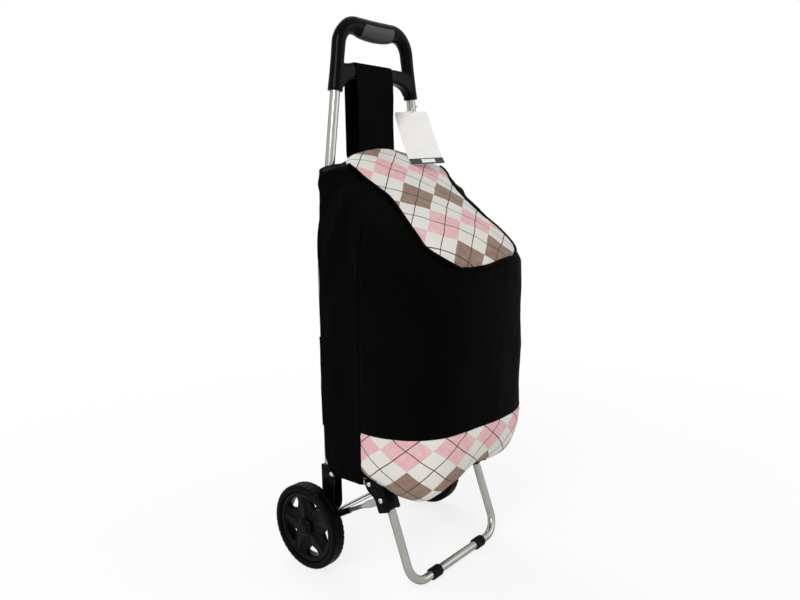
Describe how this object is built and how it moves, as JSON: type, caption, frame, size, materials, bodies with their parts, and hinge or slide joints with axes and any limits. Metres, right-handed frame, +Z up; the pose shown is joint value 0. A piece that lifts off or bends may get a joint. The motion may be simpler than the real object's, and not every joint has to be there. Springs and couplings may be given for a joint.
{
  "type": "shopping trolley",
  "caption": "Two-wheeled shopping trolley: tubular frame, slanted fabric bag with a lozenge-patterned flap and lower band, folding foot and platform, closed plastic handle.",
  "frame": {"origin": "middle of the trolley's outline on the floor it stands on", "axes": "+Z up, +X to the right as seen from the bag's front, -Y towards the bag's front"},
  "size_m": [0.3854, 0.3452, 0.9761],
  "materials": {
    "tyre": "matt moulded rubber",
    "rubber": "matt",
    "wheel_plastic": "satin moulded",
    "bright_steel": "zinc plated",
    "silver_tube": "silver powder coat, satin",
    "black_steel": "black powder coat, satin",
    "handle_plastic": "semi gloss moulded",
    "grip_rubber": "ribbed, matt",
    "black_fabric": "woven polyester, faint sheen",
    "argyle_fabric": "woven, printed with pink, brown and cream lozenges",
    "board_plastic": "matt",
    "card": "smooth",
    "cord": "twisted"
  },
  "bodies": {
    "frame": {"upright_left": "silver_tube", "upright_right": "silver_tube", "rear_bracket_left": "black_steel", "rear_bracket_right": "black_steel", "link_rivet_left": "bright_steel", "link_rivet_right": "bright_steel", "axle": "bright_steel", "axle_washer_left": "bright_steel", "axle_washer_right": "bright_steel", "axle_clip_left": "bright_steel", "axle_clip_right": "bright_steel", "handle": "handle_plastic", "grip_pad": "grip_rubber", "handle_screw_left": "bright_steel", "handle_screw_right": "bright_steel", "bag_back": "black_fabric", "bag_side_left": "black_fabric", "bag_side_right": "black_fabric", "bag_tunnel_left": "black_fabric", "bag_tunnel_right": "black_fabric", "bag_front": "black_fabric", "bag_band": "argyle_fabric", "bag_bottom": "black_fabric", "flap_root": "argyle_fabric", "hanging_strap": "black_fabric", "swing_tag": "card", "tag_tie": "cord"},
    "wheel_left": {"tyre_left": "tyre", "wheel_rim_left": "wheel_plastic", "hub_cap_left": "wheel_plastic"},
    "wheel_right": {"tyre_right": "tyre", "wheel_rim_right": "wheel_plastic", "hub_cap_right": "wheel_plastic"},
    "struts": {"strut_left": "silver_tube", "strut_right": "silver_tube", "strut_knuckle_left": "wheel_plastic", "strut_knuckle_right": "wheel_plastic", "strut_rivet_left": "bright_steel", "strut_rivet_right": "bright_steel"},
    "foot": {"foot_tube": "silver_tube", "foot_bracket_left": "black_steel", "foot_bracket_right": "black_steel", "foot_ring_left": "rubber", "foot_ring_right": "rubber", "ear_rivet_left": "bright_steel", "ear_rivet_right": "bright_steel"},
    "platform": {"platform_link_left": "silver_tube", "platform_link_right": "silver_tube", "platform_rod_rear": "silver_tube", "platform_rod_front": "silver_tube", "base_board": "board_plastic"},
    "lid": {"flap": "argyle_fabric", "flap_piping": "black_fabric"}
  },
  "joints": [
    {"name": "left_wheel_spin", "type": "hinge", "parent": "frame", "child": "wheel_left", "pos_m": [0, 0.09359, 0.079], "axis": [1, 0, 0], "continuous": true},
    {"name": "right_wheel_spin", "type": "hinge", "parent": "frame", "child": "wheel_right", "pos_m": [0, 0.09359, 0.079], "axis": [1, 0, 0], "continuous": true},
    {"name": "foot_fold", "type": "hinge", "parent": "frame", "child": "struts", "pos_m": [0, 0.09359, 0.079], "axis": [-1, 0, 0], "range_deg": [0, 28.25]},
    {"name": "foot_swing", "type": "hinge", "parent": "struts", "child": "foot", "pos_m": [0, -0.05941, 0.16], "axis": [-1, 0, 0], "range_deg": [-53.9, 0]},
    {"name": "platform_fold", "type": "hinge", "parent": "frame", "child": "platform", "pos_m": [0, 0.05209, 0.181], "axis": [-1, 0, 0], "range_deg": [0, 60.1], "deforming": ["bag_bottom"]},
    {"name": "lid_open", "type": "hinge", "parent": "frame", "child": "lid", "pos_m": [0, 0.01319, 0.7338], "axis": [-1, 0, 0], "range_deg": [0, 110]}
  ],
  "couplings": [
    {"joint": "foot_swing", "follows": "foot_fold", "ratio": -1.9059},
    {"joint": "platform_fold", "follows": "foot_fold", "ratio": 2.1238}
  ]
}
